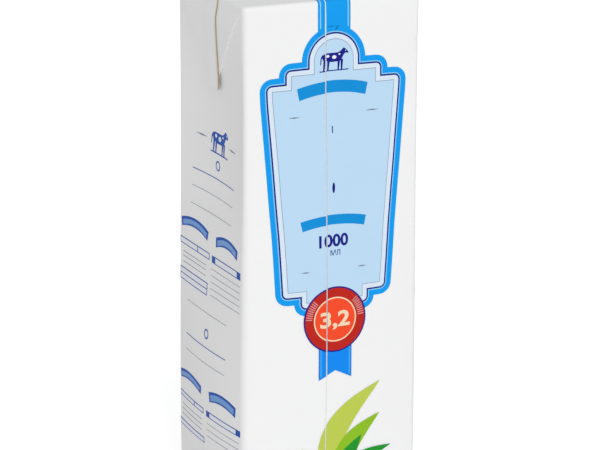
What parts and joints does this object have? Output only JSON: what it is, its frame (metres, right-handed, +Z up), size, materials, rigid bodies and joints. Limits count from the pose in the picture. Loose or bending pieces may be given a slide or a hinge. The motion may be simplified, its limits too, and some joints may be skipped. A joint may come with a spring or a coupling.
{
  "type": "milk carton",
  "caption": "Closed one-litre folded-board milk carton with flat side ears, a seal fin across the top and a printed label panel.",
  "frame": {"origin": "middle of the footprint, on the face the pack stands on", "axes": "+Z up along the pack's height, -Y towards the main label panel, -X towards the side panel with the blue text panels"},
  "size_m": [0.0806, 0.0738, 0.2059],
  "materials": {
    "board": "coated white board with blue, navy, red and green print"
  },
  "bodies": {
    "root": {"carton": "board"}
  },
  "joints": []
}
